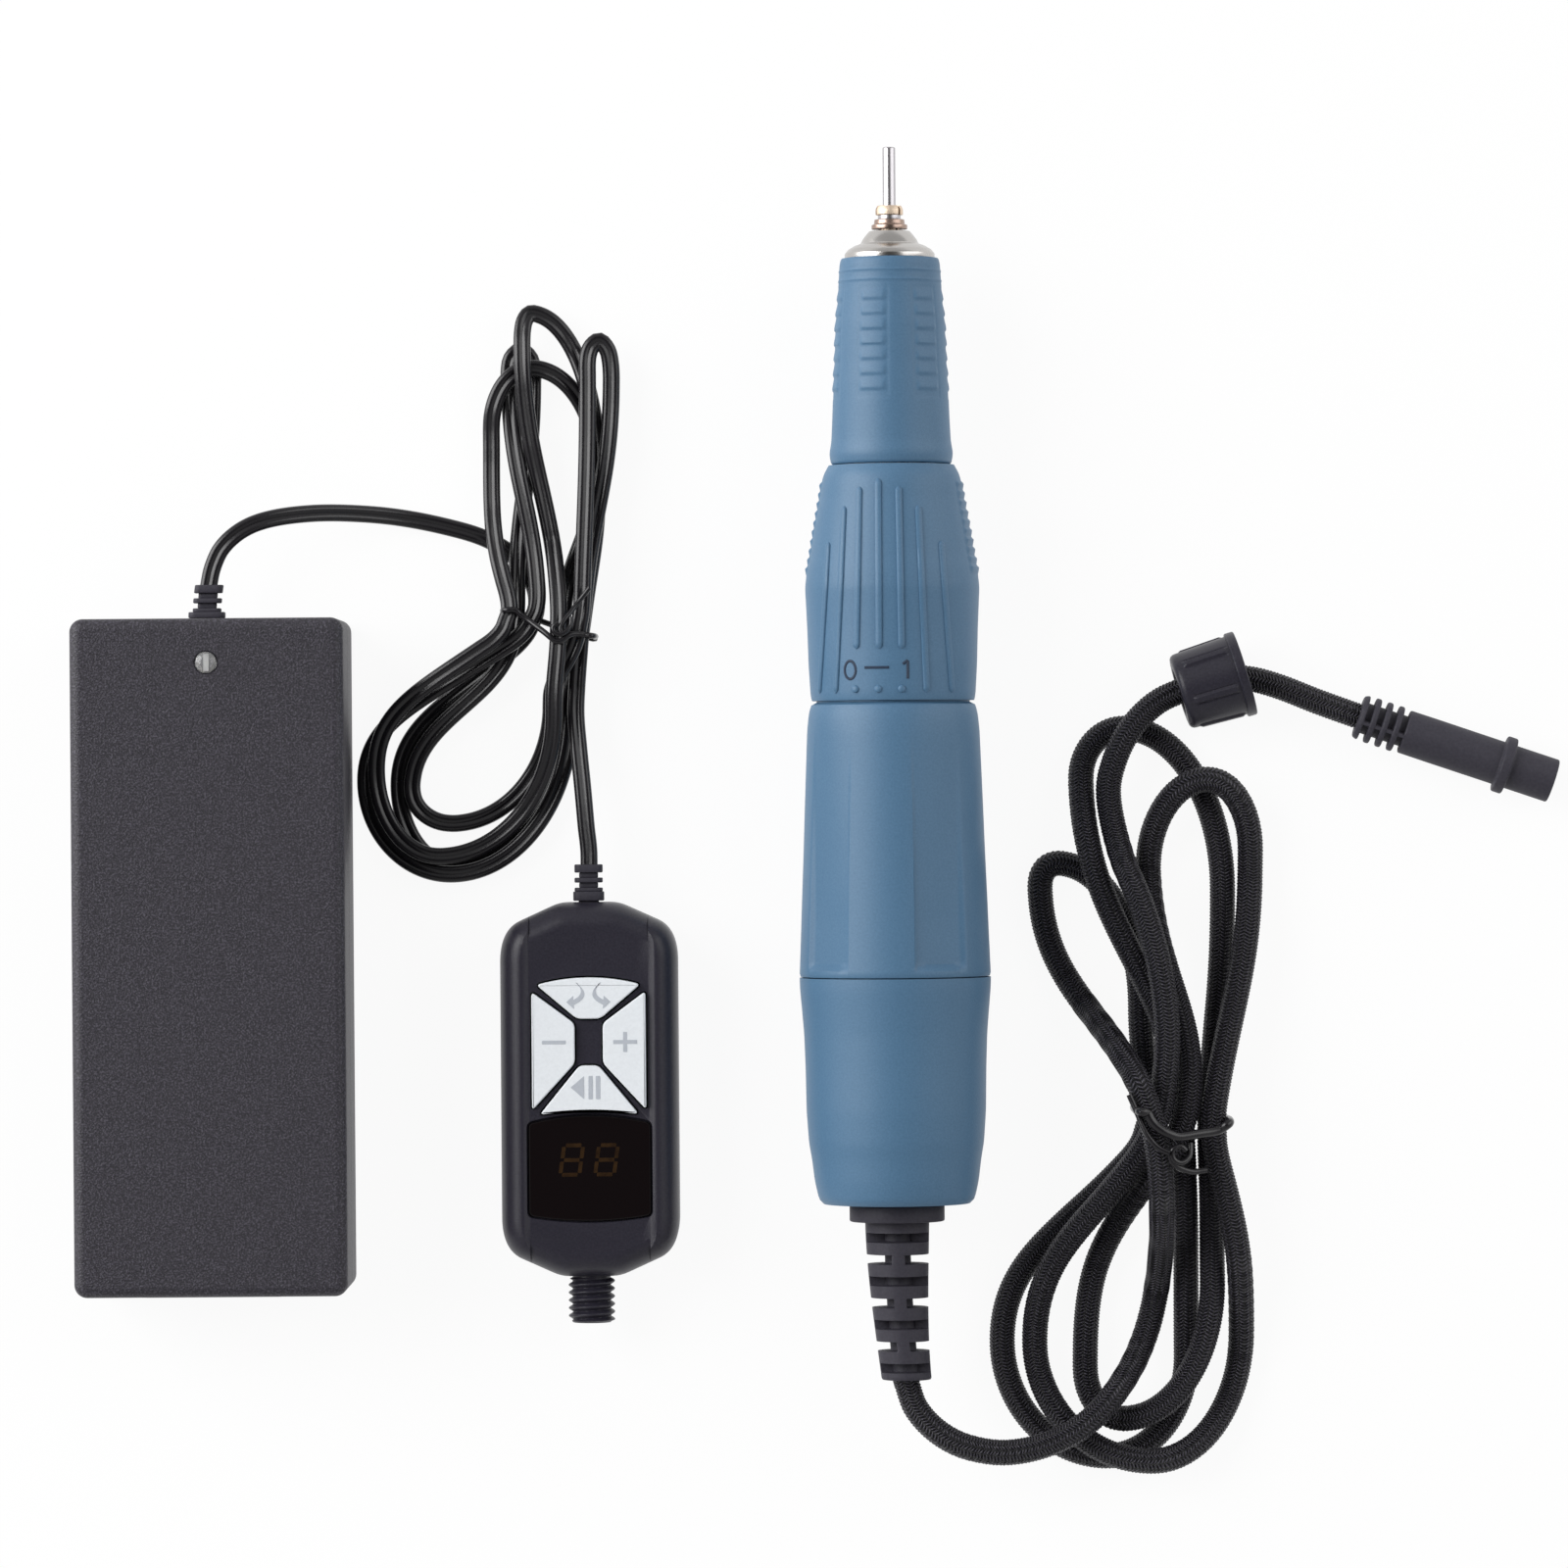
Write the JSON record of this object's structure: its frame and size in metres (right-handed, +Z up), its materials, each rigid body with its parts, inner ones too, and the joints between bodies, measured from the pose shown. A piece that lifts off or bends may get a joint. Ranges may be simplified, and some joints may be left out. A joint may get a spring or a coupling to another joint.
{
  "type": "electric nail drill",
  "caption": "Electric nail drill set: turned handpiece with a twist ring and collet, on a braided lead, with a hand controller and a mains power box on a thin cord.",
  "frame": {"origin": "on the table, under the middle of the box round the power box, the controller and the handpiece", "axes": "+Y along the handpiece, from its cord to its bit; +X from the power box to the handpiece; +Z up from the table"},
  "size_m": [0.2741, 0.2452, 0.0352],
  "materials": {
    "steel": "ground",
    "brass": "turned",
    "polished_nose": "polished",
    "blue_metal": "satin anodised",
    "white_plastic": "moulded",
    "black_plastic": "fine texture",
    "black_gloss": "semi-gloss",
    "light_key": "moulded",
    "dark_window": "polished",
    "clear_plastic": "polished",
    "board": "laminate",
    "dark_rubber": "moulded",
    "black_cord": "smooth",
    "braid": "woven"
  },
  "bodies": {
    "set": {"nose_cone": "polished_nose", "front_bearing": "steel", "rear_bearing": "steel", "front_grip": "blue_metal", "preload_spring": "steel", "ring_carrier": "white_plastic", "motor_bearing": "steel", "motor_can": "steel", "motor_end_bell": "black_plastic", "motor_housing": "blue_metal", "rear_cap": "blue_metal", "filter_board": "board", "handpiece_boot": "dark_rubber", "controller_base": "black_gloss", "controller_cover": "black_gloss", "direction_key_switch": "black_plastic", "minus_key_switch": "black_plastic", "plus_key_switch": "black_plastic", "run_key_switch": "black_plastic", "display_window": "dark_window", "display_module": "black_plastic", "controller_board": "board", "outlet_spigot": "black_gloss", "outlet_socket": "black_plastic", "controller_boot": "dark_rubber", "adaptor_base": "black_plastic", "adaptor_cover": "black_plastic", "lamp_lens": "clear_plastic", "mains_inlet": "black_plastic", "inlet_pin_live": "brass", "inlet_pin_earth": "brass", "inlet_pin_neutral": "brass", "adaptor_board": "board", "transformer": "board", "capacitor": "board", "adaptor_boot": "dark_rubber", "plug_body": "dark_rubber", "plug_contacts": "brass", "twin_cord_lead": "black_cord", "twin_cord_hank": "black_cord", "twin_cord_tail": "black_cord", "twin_cord_tie": "black_cord", "braided_cord_lead": "braid", "braided_cord_hank": "braid", "braided_cord_tail": "braid", "braided_cord_tie": "black_cord"},
    "spindle_body": {"bit_shank": "steel", "collet": "brass", "chuck_ring": "steel", "spindle": "steel", "drive_coupling": "brass", "rotor": "steel"},
    "twist_ring_body": {"twist_ring": "blue_metal"},
    "push_sleeve_body": {"push_sleeve": "white_plastic"},
    "direction_key_body": {"direction_key": "light_key"},
    "minus_key_body": {"minus_key": "light_key"},
    "plus_key_body": {"plus_key": "light_key"},
    "run_key_body": {"run_key": "light_key"},
    "union_nut_body": {"union_nut": "black_gloss"}
  },
  "joints": [
    {"name": "spindle_spin", "type": "hinge", "parent": "set", "child": "spindle_body", "pos_m": [0.06645, 0, 0.0176], "axis": [0, 1, 0], "continuous": true},
    {"name": "ring_turn", "type": "hinge", "parent": "set", "child": "twist_ring_body", "pos_m": [0.06645, 0, 0.0176], "axis": [0, 1, 0], "range_deg": [0, 33.6]},
    {"name": "sleeve_slide", "type": "slide", "parent": "set", "child": "push_sleeve_body", "axis": [0, 1, 0], "range_m": [0, 0.00081]},
    {"name": "direction_key_press", "type": "slide", "parent": "set", "child": "direction_key_body", "axis": [0, 0, -1], "range_m": [0, 0.0005], "stiffness_N_per_m": 400, "springref_m": -0.0012},
    {"name": "minus_key_press", "type": "slide", "parent": "set", "child": "minus_key_body", "axis": [0, 0, -1], "range_m": [0, 0.0005], "stiffness_N_per_m": 400, "springref_m": -0.0012},
    {"name": "plus_key_press", "type": "slide", "parent": "set", "child": "plus_key_body", "axis": [0, 0, -1], "range_m": [0, 0.0005], "stiffness_N_per_m": 400, "springref_m": -0.0012},
    {"name": "run_key_press", "type": "slide", "parent": "set", "child": "run_key_body", "axis": [0, 0, -1], "range_m": [0, 0.0005], "stiffness_N_per_m": 400, "springref_m": -0.0012},
    {"name": "union_nut_spin", "type": "hinge", "parent": "set", "child": "union_nut_body", "pos_m": [0.1196, 0.0127, 0.008], "axis": [0.9593, 0.2823, 0], "continuous": true}
  ],
  "couplings": [
    {"joint": "sleeve_slide", "follows": "ring_turn", "m_per_rad": 0.0013642}
  ]
}
